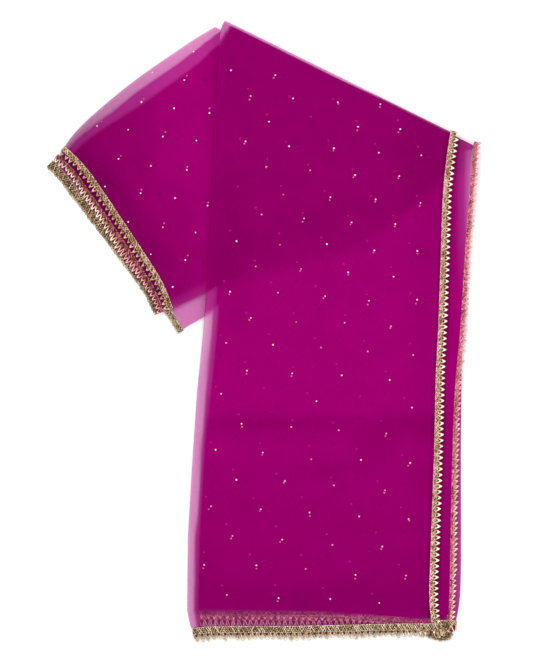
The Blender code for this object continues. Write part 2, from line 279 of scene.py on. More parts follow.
def front_ply(starts, fold_radius, under, edge, depth, near, rows=210, columns=96):
    """Grid of points of one ply, its flat coordinates, and each point's distance in from the outline.

    starts is how far in from the outline the ply's fold is, under is how far it comes back below itself,
    edge is the table of its free edge, depth is how far it lies below the top ply, and near is the y of its
    near end."""
    v = np.linspace(0, 1, rows)[:, None]
    y_left = near + v * (turn_line(-39.5, TURN_RADIUS) - near)
    y_edge = near + v * (turn_line(along(edge, 172), TURN_RADIUS) - near)
    left = np.concatenate([along(left_fold, y_left), y_left], axis=1)
    right = np.concatenate([along(edge, y_edge), y_edge], axis=1)
    width = np.linalg.norm(right - left, axis=1, keepdims=True)
    inward = (right - left) / width
    fade = smooth((1 - v) / 0.035) * 0.85 + 0.15  # the fold flattens as it nears the turn
    r = fold_radius * fade
    leg = np.linspace(1, 0, 6)[None, :-1] * under * fade
    level = (width - starts - r) * np.linspace(0, 1, columns)[None, 1:]
    across = np.concatenate([leg + r, r - r * np.sin(HALF_CIRCLE), r + level], axis=1)
    below = np.concatenate([2 * r + 0 * leg, r * (1 - np.cos(HALF_CIRCLE)), 0 * level], axis=1)
    arc = np.concatenate([-math.pi * r - leg, -r * HALF_CIRCLE, level], axis=1)
    inset = starts + across
    plan = left[:, None] + inward[:, None] * inset[..., None]
    x, y = plan[..., 0], plan[..., 1]
    height = np.maximum(top_height(x, y, inset) - depth * depth_share(y) - below, LOWEST)
    turn = np.linspace(0, math.pi, 15)[1:, None]
    radius = (TURN_RADIUS - depth - below[-1])[None, :]
    over = plan[-1][None] + TURN_OUT * (radius * np.sin(turn))[..., None]
    over_height = height[-1][None, :] - radius + radius * np.cos(turn)
    over_height = np.maximum(over_height, LOWEST + 0.1 * depth)
    back = np.linspace(0, 1, 4)[1:, None] * TUCKED
    tail = over[-1:] - TURN_OUT * back[..., None]
    plan = np.concatenate([plan, over, tail])
    height = np.concatenate([height, over_height, np.repeat(over_height[-1:], len(back), axis=0)])
    points = np.concatenate([plan, height[..., None]], axis=2)
    beyond = FRONT_RUN + np.concatenate([TURN_RADIUS * turn, TURN_RADIUS * math.pi + back])
    run = np.concatenate([v * FRONT_RUN, beyond])
    arc = np.concatenate([arc, np.repeat(arc[-1:], len(beyond), axis=0)]) + starts
    inset = np.concatenate([inset, np.repeat(inset[-1:], len(beyond), axis=0)])
    return points, np.stack(np.broadcast_arrays(arc, run), axis=2), inset


print("the front limb's plies are", FRONT_RUN, "mm long to the turn and go", TUCKED, "mm under it")

# %% [markdown]
# ## One class for shader maths, one method for every other node
#
# A material is easier to read as a formula than as a web of nodes. `Reading` wraps a socket that carries a
# number, so that `1 - holes * 0.3` adds the Math nodes it needs. `Finish.add` makes any other node from its
# type, its settings and its sockets. Colours never go through Math nodes, because these would turn them
# grey.


# %% Shader helpers
class Reading:
    """A number coming out of a socket. Arithmetic on it adds Math nodes to its material."""

    def __init__(self, finish, socket):
        self.finish, self.socket = finish, socket

    def maths(self, operation, first, second=None):
        sockets = {0: first} if second is None else {0: first, 1: second}
        return self.finish.add("ShaderNodeMath", {"operation": operation}, sockets)

    def __add__(self, other):
        return self.maths("ADD", self, other)

    def __radd__(self, other):
        return self.maths("ADD", other, self)

    def __sub__(self, other):
        return self.maths("SUBTRACT", self, other)

    def __rsub__(self, other):
        return self.maths("SUBTRACT", other, self)

    def __mul__(self, other):
        return self.maths("MULTIPLY", self, other)

    def __rmul__(self, other):
        return self.maths("MULTIPLY", other, self)

    def wave(self):
        return self.maths("SINE", self)

    def within(self):
        return self.maths("MINIMUM", self.maths("MAXIMUM", self, 0.0), 1.0)


class Finish:
    """A node material whose last node is a Principled shader."""

    def __init__(self, name, **uniform):
        self.material = bpy.data.materials.new(name)
        self.material.use_nodes = True
        self.tree = self.material.node_tree
        self.tree.nodes.clear()
        self.shader = self.tree.nodes.new("ShaderNodeBsdfPrincipled")
        output = self.tree.nodes.new("ShaderNodeOutputMaterial")
        self.tree.links.new(self.shader.outputs[0], output.inputs["Surface"])
        for socket, value in uniform.items():
            self.shader.inputs[socket.replace("_", " ")].default_value = value

    def add(self, kind, settings=None, sockets=None, out=0):
        node = self.tree.nodes.new(kind)
        for setting, value in (settings or {}).items():
            if setting == "stops":
                ramp = node.color_ramp.elements
                while len(ramp) < len(value):
                    ramp.new(0.5)
                for stop, (place, colour) in zip(ramp, value):
                    stop.position, stop.color = place, colour
            else:
                setattr(node, setting, value)
        for socket, value in (sockets or {}).items():
            self.join(node.inputs[socket], value)
        return Reading(self, node.outputs[out])

    def join(self, socket, value):
        if isinstance(value, Reading):
            self.tree.links.new(value.socket, socket)
        else:
            socket.default_value = value

    def mark(self, name):
        """A number that the piece's mesh carries on its points."""
        return self.add("ShaderNodeAttribute", {"attribute_name": name}, out="Fac")

    def noise(self, place, scale, detail=2.0, rough=0.5, across="3D"):
        """Cloudy noise from 0 to 1; a scale of 100 makes clouds about a centimetre wide."""
        sockets = {"Vector": place, "Scale": scale, "Detail": detail, "Roughness": rough}
        return self.add("ShaderNodeTexNoise", {"noise_dimensions": across}, sockets)

    def bump(self, height, strength, distance):
        sockets = {"Strength": strength, "Distance": distance, "Height": height}
        return self.add("ShaderNodeBump", None, sockets)

    def mix(self, share, first, second):
        """A colour between two colours."""
        return self.add("ShaderNodeMix", {"data_type": "RGBA"}, {0: share, 6: first, 7: second}, out=2)

    def set(self, **sockets):
        for socket, value in sockets.items():
            self.join(self.shader.inputs[socket.replace("_", " ")], value)
        return self.material


print("shader helpers ready:", Reading.__name__, "for numbers and", Finish.__name__, "for materials")

# %% [markdown]
# ## Sheer net
#
# The net is fine polyester tulle, dyed magenta. What changes over it is how many plies lie together: its
# meshes are open, so a lone ply lets the table through and a pile does not. Three marks on the mesh steer
# this. `pile` is 1 over the folded pile and 0 where only the plies of a fold lie on the table, `tone` dims
# the colour and also carries painted shade in creases, beside the laces and in the pile's grooves, and painted
# light on ridges and rims, and `cover` is how much of what lies below is hidden. The weave comes from the UV
# map, which is the cut cloth laid flat, in metres.

# %% Net finish
MESH_PITCH = 0.00072  # one opening of the net, in metres
BLACK = (0, 0, 0, 1)


def net_finish(name, deep, middle, light, weave=0.12):
    """Two families of slanting threads make diamond openings: sin(k(u+v)) times sin(k(u-v))."""
    net = Finish(name, Roughness=0.75, Specular_IOR_Level=0.0)
    cut = net.add("ShaderNodeUVMap", {"uv_map": "cut"})
    u = net.add("ShaderNodeSeparateXYZ", None, {0: cut})
    v = Reading(net, u.socket.node.outputs[1])
    turns = 2 * math.pi / MESH_PITCH
    threads = ((u + v) * turns).wave() * ((u - v) * turns).wave()
    cloud = net.noise(cut, 34.0, 4.0, 0.6, "2D")
    slub = net.noise(cut, 420.0, across="2D")
    pile = net.mark("pile")
    near = net.mix((pile * 2).within(), light, middle)
    colour = net.mix((pile * 2 - 1).within(), near, deep)
    bright = net.mark("tone") * (1 - weave * (0.5 + 0.5 * threads))
    bright = bright * (0.90 + 0.2 * cloud) * (0.94 + 0.12 * slub)
    cover = (net.mark("cover") - 0.06 * threads).within()
    bump = net.bump(threads + cloud, 0.35, 0.0002)
    return net.set(Base_Color=net.mix(bright.within(), BLACK, colour), Alpha=cover, Normal=bump)


net_cloth = net_finish("magenta_net", (0.368, 0.0, 0.167, 1), (0.50, 0.028, 0.29, 1), (0.77, 0.235, 0.57, 1))
print("net finish with openings of", MESH_PITCH / MM, "mm")

# %% [markdown]
# ## Gold lace
#
# The trim is a narrow crocheted lace: a band of crossing metallic threads between two cords, with a row of
# pointed loops along its outer side. It is wound yarn, so it has a soft metal glint and not a mirror's.
# Each yarn is painted dark at its sides and below as shade, and bright on its crown as a highlight, and the
# loops are painted brightest at their points, as a highlight. `high` carries that painted light, `thread` is
# 1 on yarn and 0 on the backing net, and `tint` is how much magenta a ply of net over the lace adds. A lace
# that hangs clear of the cloth has no pink light thrown back at it, so it has a browner finish.

# %% Lace finish
UNDER_NET = (0.97, 0.39, 0.80, 1)  # what a ply of net over the lace multiplies its colour by


def lace_finish(name, stops, backing):
    """Yarn colour: a ramp from shade to highlight, read at high (painted light) plus two sizes of fleck, so that
    no two loops shine alike.
    """
    lace = Finish(name, Specular_IOR_Level=0.3)
    place = lace.add("ShaderNodeTexCoord", out="Object")
    fleck = lace.noise(place, 1000.0, 2.0, 0.6)
    patch = lace.noise(place, 210.0, 3.0, 0.6)
    thread, high, tint = lace.mark("thread"), lace.mark("high"), lace.mark("tint")
    shine = high + (fleck - 0.5) * 1.5 + (patch - 0.5) * 0.7
    yarn_colour = lace.add("ShaderNodeValToRGB", {"stops": stops}, {"Fac": shine.within()})
    colour = lace.mix(thread, backing, yarn_colour)
    veiled = lace.add("ShaderNodeMix", {"data_type": "RGBA", "blend_type": "MULTIPLY"},
                      {0: tint, 6: colour, 7: UNDER_NET}, out=2)
    return lace.set(Base_Color=veiled, Metallic=thread * 0.25, Roughness=0.75 - 0.33 * thread,
                    Normal=lace.bump(fleck, 0.5, 0.0003))


# the last colour of each finish is the backing behind the yarn: partly its own colour, partly painted shadow
gold_lace = lace_finish("gold_lace_thread", (
    (0.0, (0.050, 0.005, 0.010, 1)), (0.25, (0.205, 0.088, 0.045, 1)), (0.50, (0.485, 0.300, 0.170, 1)),
    (0.75, (0.80, 0.56, 0.355, 1)), (1.0, (0.98, 0.88, 0.78, 1))), (0.095, 0.002, 0.034, 1))
free_lace = lace_finish("free_gold_lace_thread", (
    (0.0, (0.038, 0.013, 0.007, 1)), (0.25, (0.145, 0.082, 0.039, 1)), (0.50, (0.36, 0.235, 0.130, 1)),
    (0.75, (0.64, 0.46, 0.29, 1)), (1.0, (0.95, 0.84, 0.70, 1))), (0.060, 0.020, 0.012, 1))
print("lace finishes", gold_lace.name, "and", free_lace.name)

# %% [markdown]
# ## Foil dots
#
# The ground is sprinkled with tiny pressed foil dots. Each is a low dome with a slightly dished rim, so
# that it catches the light at one side. The same dots show faintly from the plies below.


# %% Foil finish
def foil_finish(name, bright, dull, metal=0.0):
    """Two colours mixed by fine grain; only the dots that lie on top have any metal in them."""
    foil = Finish(name, Specular_IOR_Level=0.4 if metal > 0 else 0.0)
    grain = foil.noise(foil.add("ShaderNodeTexCoord", out="Object"), 1400.0)
    return foil.set(Base_Color=foil.mix((grain * 2 - 0.5).within(), dull, bright), Metallic=grain * metal,
                    Roughness=0.35 + 0.2 * grain, Normal=foil.bump(grain, 0.6, 0.0002))


gold_foil = foil_finish("gold_foil", (1.0, 0.84, 0.78, 1), (0.84, 0.38, 0.46, 1), 0.15)
veiled_foil = foil_finish("foil_under_a_ply", (0.68, 0.15, 0.35, 1), (0.50, 0.03, 0.23, 1))
rosy_foil = foil_finish("rosy_foil", (0.88, 0.44, 0.56, 1), (0.60, 0.09, 0.29, 1), 0.1)
buried_foil = foil_finish("foil_deep_in_the_pile", (0.235, 0.0, 0.112, 1), (0.165, 0.0, 0.075, 1))
faint_foil = foil_finish("foil_seen_through_plies", (0.39, 0.004, 0.19, 1), (0.36, 0.001, 0.17, 1))
print("foil finishes ready")

# %% [markdown]
# ## The front limb
#
# Four plies lie on top of each other here, but only two lengthwise edges and two folds can be told apart.
# The top ply and the second ply are sheets that run round the left fold and over the turn. The plies inside
# them never show, except as depth of colour and as layered edges, so they are one pile.

# %% How deep the front limb looks
# x, how far below the rear limb's edge the cloth starts to climb
climb_foot = ((-24, 5), (3, 9), (30, 11), (57, 15), (84, 18), (111, 16), (138, 6))
# y, brightness of the net down the limb
down_the_limb = ((-266, 0.74), (-234, 0.77), (-212, 0.83), (-190, 0.87), (-150, 0.89), (-128, 0.91),
                 (-104, 0.95), (-88, 0.90), (-78, 0.88), (-70, 0.98), (-40, 1.0), (44, 1.0), (56, 0.97))
# y, width of the band by the fold where two plies lie, and of the one where four do
light_band = ((-262, 5.6), (-205, 6.5), (-150, 7.5), (-97, 7.3), (-45, 7.6), (10, 6.9), (260, 6.0))
middle_band = ((-262, 8.8), (-205, 9.4), (-150, 9.9), (-97, 9.9), (-45, 11.7), (10, 12.2), (260, 11.0))


def turn_depth(x, y):
    """How far a point lies inside the slanting line of the turn."""
    return (turn_line(x) - y) * math.cos(TURN_SLOPE)


def front_tone(x, y):
    """Brightness of the net: a table down the limb, a step at the rear limb, and the creases' painted shade and
    light.
    """
    step_down = (along(rear_lower, x) - along(climb_foot, x) - y) * math.cos(REAR_SLOPE)
    on_rear = smooth(0.5 - step_down / 18)
    tone = along(down_the_limb, y) * (1 - 0.165 * on_rear) * (1 - 0.06 * on_rear * smooth((x - 112) / 18))
    tone = tone * (1 - 0.07 * smooth((x - 122) / 24))
    # painted shade along the creases' troughs, painted light along their ridges
    _, darker = crease_field(front_creases, x, y)
    return tone * (1 - darker)


def front_marks(points, inset, cover_low=0.53, cover_high=0.76):
    """pile, tone and cover on the points of a front ply: light by its fold, middle, then deep. Over the rear
    limb the fold lies on a pile, so it is deep there too, and half deep over the fold at the rear's foot."""
    x, y = points[..., 0], points[..., 1]
    wander = 0.4 * np.sin(y / 12.3 + 1)
    inner = 0.45 * smooth((inset - along(light_band, y) - wander + 0.8) / 1.2)
    inner = inner + 0.55 * smooth((inset - along(middle_band, y) + 1.5) / 3.0)
    on_fold = smooth((y - along(lower_outer, x)) / 9.0 + 0.45)
    on_rear = smooth((y - along(rear_lower, x)) / 3.0 + 0.5)
    below = on_fold * (0.57 + 0.43 * np.maximum(on_rear, smooth((inset - 7.5) / 3)))
    # the fold opens at the turn
    opening = smooth((y - 254) / 14) * smooth((0.35 * (y - 255) - inset) / 3 + 0.5)
    pale_edge = 1.5 - 1.8 * smooth((x - 60) / 55)  # width of the turn's rim, where few plies lie
    by_turn = smooth((turn_depth(x, y) - pale_edge) / 1.5)
    pile = np.minimum(np.maximum(inner, below * (1 - 0.75 * opening)), by_turn)
    tone = front_tone(x, y) * (1 - 0.09 * smooth(1.4 - inset / 34) * on_rear * smooth((170 - y) / 60))
    tone = (tone + (1 - tone) * (1 - pile) * 0.8) * (0.93 + 0.07 * pile)
    tone = tone * (1 + 0.30 * smooth(1 - inset / 2.0) * on_rear)  # the rim catches light on the rear limb
    return {"pile": pile, "tone": tone, "cover": cover_low + (cover_high - cover_low) * pile}


def cloth_piece(name, points, flat, marks):
    """A ply of net from a grid of points, facing up."""
    quads = facing(points.reshape(-1, 3), grid_quads(*points.shape[:2]))
    return piece_from(name, points.reshape(-1, 3), quads, net_cloth, flat.reshape(-1, 2), marks)


widths = [width for _, width in light_band]
print("the light band by the fold is", min(widths), "to", max(widths), "mm wide")

# %% [markdown]
# ## The two front plies
#
# The pile ends before the laces of the near end do, so the top ply is a lone ply there and lets them show.
# It is also darker right beside its own lace, which throws a shadow. The second ply goes on past the pile
# at the right, where it lies on the table by itself and looks pale.

# %% Top ply and second ply
SECOND_IN, CORE_IN = 7.4, 11.5  # how far in from the outline the second fold and the pile start
pile_end = ((-75, -249), (40, -250), (77, -252.5), (147, -258.5))  # x, y of the pile's near end

points, flat, inset = front_ply(0.0, 2.2, 8.0, top_edge, 0.0, -265.2)
marks = front_marks(points, inset)
over_laces = smooth((along(pile_end, points[..., 0]) - points[..., 1]) / 1.5 + 0.5) * smooth((inset - 8.5) / 2)
by_lace = smooth(1 - (along(top_edge, points[..., 1]) - points[..., 0]) / 5)
marks["cover"] = marks["cover"] * (1 - over_laces) + 0.30 * over_laces
marks["pile"] = marks["pile"] * (1 - 0.35 * over_laces)
marks["tone"] = marks["tone"] * (1 - 0.30 * by_lace)
front_top = cloth_piece("front_top_ply", points, flat, marks)

points, flat, inset = front_ply(SECOND_IN, 1.4, 6.0, second_edge, 1.3, -253.5, columns=100)
marks = front_marks(points, inset, 0.7, 0.9)
alone = np.clip((points[..., 0] - 169.5) / 13, 0, 1) * smooth((points[..., 1] - 20) / 90)
alone = alone * (0.50 + 0.50 * smooth((166 - points[..., 1]) / 3))
past_end = smooth((along(pile_end, points[..., 0]) - points[..., 1]) / 1.5 + 0.5)
shaded = smooth(1 - (points[..., 0] - along(top_edge, points[..., 1]) - 8) / 3)
marks["pile"] = marks["pile"] * (1 - 0.84 * alone)
marks["cover"] = marks["cover"] * (1 - 0.25 * alone) * (1 - 0.62 * past_end)
marks["tone"] = marks["tone"] * 0.93 * (1 - 0.36 * shaded)
front_second = cloth_piece("front_second_ply", points, flat, marks)
print("front plies", len(front_top.data.polygons), len(front_second.data.polygons), "quads")

# %% [markdown]
# ## The pile inside
#
# Seen from the side, a stack of folded net is a column of rounded folds. The pile is a closed form whose
# sides are scalloped once for each pair of plies, and whose ends are closed. Its tone is painted darker
# where a scallop curves in, as shade in the grooves between the folds.

# %% Closed piles with scalloped sides
PILE_TONE, PILE_COLUMNS = 0.9, 40


def pile_form(name, left, right, top, bottom, plies):
    """A closed pile between two lines of x, y. Its side bulges by 0.7 |sin(plies * pi * height)| - 0.35."""
    rows = len(left)
    up = np.linspace(0, 1, plies * 6 + 1)
    bulge = 0.7 * np.abs(np.sin(plies * math.pi * up)) - 0.35
    across = np.linspace(0, 1, PILE_COLUMNS)
    flat_side, tall_side = np.zeros(PILE_COLUMNS - 1), np.zeros(len(up) - 1)
    share = np.concatenate([across[:-1], tall_side + 1, across[:0:-1], tall_side])
    level = np.concatenate([flat_side + 1, up[:0:-1], flat_side, up[:-1]])
    outwards = np.concatenate([flat_side, bulge[:0:-1], flat_side, -bulge[:-1]])
    way = (right - left) / np.linalg.norm(right - left, axis=1, keepdims=True)
    plan = left[:, None] + (right - left)[:, None] * share[None, :, None]
    plan = plan + way[:, None] * outwards[None, :, None]
    high, low = top(plan[..., 0], plan[..., 1]), bottom(plan[..., 0], plan[..., 1])
    points = np.concatenate([plan, (low + (high - low) * level[None, :])[..., None]], axis=2)
    middle = points.mean(axis=1, keepdims=True)
    caps = [middle[:1] + (points[:1] - middle[:1]) * k for k in (0.0, 0.6)]
    ends = [middle[-1:] + (points[-1:] - middle[-1:]) * k for k in (0.6, 0.0)]
    points = np.concatenate(caps + [points] + ends)
    quads = grid_quads(len(points), points.shape[1], closed=True)
    flat = points.reshape(-1, 3)
    a, b, c = flat[quads[:, 0]], flat[quads[:, 1]], flat[quads[:, 3]]
    if (np.cross(b - a, c - a) * (a - flat.mean(axis=0))).sum() < 0:
        quads = quads[:, ::-1]
    # painted shade: tone 0.75 where the side curves in, and on the flat top and bottom, rising to 1 on each
    # bulge
    folds = np.broadcast_to(0.75 + 0.25 * np.abs(np.sin(plies * math.pi * level)), points.shape[:2])
    solid = np.ones(points.shape[:2])
    marks = {"pile": solid, "tone": PILE_TONE * folds, "cover": solid}
    made = piece_from(name, flat, quads, net_cloth, flat[:, :2], marks)
    made.data.validate()
    print(name, rows, "rows,", len(made.data.polygons), "quads")
    return made


down = np.linspace(0, 1, 150)[:, None]
core_left_y = -249 + down * (turn_line(-30, 8) + 249)
core_right_y = -257 + down * (turn_line(168, 8) + 257)
core_left = np.concatenate([along(left_fold, core_left_y) + CORE_IN, core_left_y], axis=1)
core_right = np.concatenate([along(pile_edge, core_right_y) - 0.6, core_right_y], axis=1)
front_pile = pile_form("front_pile", core_left, core_right,
                       lambda x, y: top_height(x, y, MID_LIMB) - 2.2 * depth_share(y) - 0.4,
                       lambda x, y: lift(x, y) + 0.05 + 0 * x, 4)

# %% [markdown]
# ## The folded lip at the right
#
# Below the second ply's lace, a fold of two plies stands out a few millimetres. Nothing lies below it but
# the table, so it reads as a pale lavender line.


# %% Folded lip
def fold_strip(name, line, reach, radius, height, marks_of, rows=160):
    """Two plies joined by a fold along a line: flat above, a half circle of the radius, and flat below."""
    path = eased(line, rows, 2)
    turn = np.linspace(math.pi / 2, -math.pi / 2, 9)
    above, under = np.linspace(reach, radius, 8)[:-1], np.linspace(radius, reach * 0.8, 5)[1:]
    inward = np.concatenate([above, radius - radius * np.cos(turn), under])
    level = np.concatenate([0 * above + 1, 0.5 + 0.5 * np.sin(turn), 0 * under])
    arc = np.concatenate([[0], np.cumsum(np.hypot(np.diff(inward), np.diff(level * 2 * radius)))])
    plan = np.stack([moved(path, -d) for d in inward], axis=1)
    z = height(plan[..., 0], plan[..., 1]) - 2 * radius * (1 - level)[None, :]
    points = np.concatenate([plan, np.maximum(z, 0.1)[..., None]], axis=2)
    run = np.concatenate([[0], np.cumsum(np.linalg.norm(np.diff(path, axis=0), axis=1))])
    flat = np.stack(np.broadcast_arrays(arc[None, :], run[:, None]), axis=2)
    upper = grid_quads(rows, len(above))
    order = grid_quads(rows, len(inward))
    if (facing(points[:, :len(above)].reshape(-1, 3), upper)[0] != upper[0]).any():
        order = order[:, ::-1]
    marks = marks_of(np.broadcast_to(inward, points.shape[:2]))
    return piece_from(name, points.reshape(-1, 3), order, net_cloth, flat.reshape(-1, 2), marks)


def lip_marks(inward):
    return {"pile": 0.46 + 0.4 * smooth((inward - 6) / 5), "tone": 0.82 + 0 * inward,
            "cover": 0.8 + 0 * inward}


front_lip = fold_strip("front_folded_lip", np.array(lip_edge)[:, ::-1], 14.0, 0.8,
                       lambda x, y: lift(x, y) + 1.7 * depth_share(y) + 0.15, lip_marks)
print("lip", len(front_lip.data.polygons), "quads")

# %% [markdown]
# ## The rear limb
#
# After the turn, the strip runs down to the left. Its upper side is a stepped fold: two plies, then four,
# then all of them. A patch between its four border lines gives the plan, and one rule gives the height of
# each ply.

# %% Rear plies
REAR_RUN = 330.0  # flat length of the rear limb, for the weave
FINE_COLUMNS, FINE_WIDTH = 20, 24  # the closer columns beside the fold, and how far in they reach


def rear_plan(u, across, out=None):
    """Plan points of the rear limb: u runs from its end to the turn, across is how far in from the upper fold.

    A Coons patch: the blend of the two long borders plus the blend of the two short ones, less their corners.
    out is a table of how far this ply's end reaches past the top ply's."""
    fine = 400
    shares = np.linspace(0, 1, fine)
    upper, lower, end = (eased(line, fine, 2) for line in (rear_upper, rear_lower, rear_end))
    if out is not None:
        end = moved(end, along(out, shares))
        blend = np.clip(1 - np.arange(fine) / 60.0, 0, 1)[:, None]
        upper, lower = upper + blend * (end[0] - upper[0]), lower + blend * (end[-1] - lower[0])
    turn = np.linspace(upper[-1], lower[-1], fine)

    def read(line, share):
        return np.stack([np.interp(share, shares, line[:, k]) for k in (0, 1)], axis=-1)

    top, foot = read(upper, u), read(lower, u)
    width = np.linalg.norm(foot - top, axis=-1)
    v = across / width
    w, s = v[..., None], u[..., None]
    corner = (1 - s) * ((1 - w) * upper[0] + w * lower[0]) + s * ((1 - w) * upper[-1] + w * lower[-1])
    ends = (1 - s) * read(end, np.clip(v, 0, 1)) + s * read(turn, np.clip(v, 0, 1))
    return (1 - w) * top + w * foot + ends - corner, v, width


def rear_ply(starts, radius, leg, top, out=None, rows=170, columns=86):
    """A rear ply whose fold lies this far in from the upper edge, as a grid with its flat size."""
    u = np.linspace(0, 1, rows)[:, None]
    _, _, width = rear_plan(u, 0 * u, out)
    dense = np.linspace(0, FINE_WIDTH, FINE_COLUMNS)[None, 1:]
    rest = np.linspace(0, 1, columns - FINE_COLUMNS)[None, 1:]
    level = np.concatenate([dense + 0 * u, FINE_WIDTH + (width - starts - radius - FINE_WIDTH) * rest], axis=1)
    back = np.linspace(leg, 0, 6)[None, :-1] + 0 * u
    arc = HALF_CIRCLE + 0 * u
    across = np.concatenate([back + radius, radius - radius * np.sin(arc), radius + level], axis=1)
    below = np.concatenate([2 * radius + 0 * back, radius * (1 - np.cos(arc)), 0 * level], axis=1)
    run = np.concatenate([-math.pi * radius - back, -radius * arc, level], axis=1)
    starts = starts * (0.35 + 0.65 * smooth(u / 0.3))
    inset = starts + across
    share = np.broadcast_to(u, across.shape)
    plan, v, _ = rear_plan(share, inset, out)
    rise, _ = crease_field(rear_creases, plan[..., 0], plan[..., 1])
    ends = smooth(u / 0.04)
    z = top - (0.8 * smooth(1 - inset / 22.0)) - below - 0.6 * (1 - ends) + rise * smooth(inset / 20) * ends
    z = np.maximum(z, 0.1 + 0.02 * starts)  # nothing hangs below the table top
    flat = np.stack([run, share * REAR_RUN], axis=2)
    return np.concatenate([plan, z[..., None]], axis=2), flat, inset, share, v


# centre x, centre y, direction in degrees, half length, half width, rise, darker by (painted shade; below 0,
# painted light)
rear_creases = (
    (-96, 150, 38, 70, 12, 0.30, -0.015),
    (-120, 150, 30, 60, 11, -0.28, 0.030),
    (-70, 108, 52, 60, 13, -0.25, 0.035),
    (-60, 214, 36, 60, 10, -0.22, 0.020),
    (-112, 96, -56, 60, 10, -0.20, 0.060),
    (-90, 190, 34, 70, 10, 0.22, -0.012),
    (-74, 92, -70, 42, 20, -0.15, 0.085),
)
print("rear creases", len(rear_creases))

# %% [markdown]
# ## How deep the rear limb looks
#
# Along its stepped fold the colour changes twice: from two plies to four, and from four to all of them. The
# limb is darker towards its end, and beside the front limb it is painted lighter, as painted light that the
# front limb's fold throws back at it.

# %% Marks of the rear plies
# x, width of the two-ply step; x, brightness far out; x, width of the four-ply step
rear_light = ((-178, 4.0), (-160, 7.0), (-140, 9.5), (-110, 10.4), (-80, 10.8), (-62, 10.0), (-45, 7.4))
rear_far = ((-159, 0.74), (-145, 0.77), (-118, 0.81), (-105, 0.86), (-91, 0.93), (-64, 1.0))
rear_middle = ((-178, 9.0), (-160, 12.5), (-135, 17.5), (-110, 21.5), (-80, 22.5), (-60, 21.5), (-45, 18.0))


def rear_marks(points, inset, share, v, cover_low=0.56, cover_high=0.76):
    """pile, tone and cover of a rear ply, from how far in each point lies from the upper fold."""
    x, y = points[..., 0], points[..., 1]
    pile = 0.5 * smooth((inset - along(rear_light, x)) / 1.0 + 0.5)
    pile = pile + 0.5 * smooth((inset - along(rear_middle, x)) / 4.5 + 0.5)
    # painted shade along the creases' troughs, painted light along their ridges
    _, darker = crease_field(rear_creases, x, y)
    end_dark = 0.17 * smooth(1 - share / 0.16) + 0.05 * smooth(1 - share / 0.4)
    tone = (1 - end_dark) * (1 - darker) * (1 - 0.08 * smooth((x + 62) / 20))
    light_tone = 1 - 0.25 * smooth(1 - share / 0.5)
    foot = smooth((v - 0.93) / 0.06)
    pile = pile * (1 - 0.25 * foot * smooth((60 - y) / 30))
    far = 1 - (1 - along(rear_far, x)) * (0.65 + 0.35 * smooth((y - 100) / 30))
    tone = (tone * smooth(pile * 2) + light_tone * (1 - smooth(pile * 2))) * far
    # light thrown back by the front limb's fold
    beside = smooth(1 - np.abs(x - along(left_fold, y) + 0.6) / 2.2)
    cover = cover_low + (cover_high - cover_low) * np.clip(pile * 1.5, 0, 1)
    return {"pile": pile, "tone": tone * (1 + 0.25 * beside), "cover": cover}


points, flat, inset, share, v = rear_ply(0.0, 1.75, 8.0, REAR_HEIGHT)
rear_top = cloth_piece("rear_top_ply", points, flat, rear_marks(points, inset, share, v))
hidden_out = ((0, 9.0), (0.25, 10.6), (0.5, 9.4), (1, 8.8))  # share of the end, how far out
points, flat, inset, share, v = rear_ply(9.3, 1.1, 6.0, REAR_HEIGHT - 1.2, hidden_out)
marks = rear_marks(points, inset, share, v, 0.7, 0.9)
marks["tone"] = marks["tone"] * (1 - 0.36 * smooth((0.085 - share) / 0.03))  # shaded by the lace over it
rear_second = cloth_piece("rear_second_ply", points, flat, marks)
print("rear plies", len(rear_top.data.polygons), len(rear_second.data.polygons), "quads")

# %% [markdown]
# ## Below the rear plies
#
# The pile fills what lies between the second fold and the foot of the rear limb. Under it the lowest ply
# comes out furthest at the end, and a last folded strip shows below the foot.

# %% Rear pile, its lowest ply and the fold below
under_out = ((0, 17.4), (0.25, 18.2), (0.6, 15.0), (1, 11.6))
u = np.linspace(0, 1, 120)
pile_left, _, pile_width = rear_plan(u, 21.0 + 0 * u)
pile_right, _, _ = rear_plan(u, pile_width - 1.5)
rear_pile = pile_form("rear_pile", pile_left[2:], pile_right[2:],
                      lambda x, y: 2.7 + 0 * x, lambda x, y: 1.1 + 0 * x, 3)

u, inward = np.meshgrid(np.linspace(0, 1, 120), np.linspace(0, 1, 50), indexing="ij")
_, _, width = rear_plan(u, 0 * u, under_out)
fold_in = 11.5 - 9.0 * smooth(1 - u / 0.3)
plan, _, _ = rear_plan(u, fold_in + inward * (width - 1.0 - fold_in), under_out)
ripple = 0.55 + 0.25 * np.sin(plan[..., 0] / 9.0) * np.sin(plan[..., 1] / 13.0)
under = np.concatenate([plan, ripple[..., None]], axis=2)
under_marks = {"pile": np.clip(0.35 + inward * 6, 0, 0.9), "tone": 0.85 + 0 * u, "cover": 0.8 + 0 * u}
rear_under = cloth_piece("rear_under_ply", under, np.stack([u * REAR_RUN, inward * width], axis=2), under_marks)


def foot_marks(inward):
    return {"pile": 0.10 + 0.3 * smooth((inward - 16) / 6), "tone": 0.95 + 0 * inward,
            "cover": 0.62 + 0 * inward}


rear_lower_fold = fold_strip("rear_lower_fold_ply", lower_outer[:5], 27.0, 0.9, lambda x, y: 2.0 + 0 * x,
                             foot_marks, rows=80)
print("under", len(rear_under.data.polygons), "lower fold", len(rear_lower_fold.data.polygons), "quads")

# %% [markdown]
# ## Lace by the metre
#
# All the laces are one pattern, made straight and then laid along a line. In the straight pattern a point
# has a length along the lace, a distance out from its inner edge, and a height. `Lay` turns these three
# numbers into a place: the line gives the plan, its right-hand side is outwards, and a height rule gives
# what the lace lies on. Every yarn is a tube carried along a path in those numbers, so one function makes
# cords, crossings and loops.


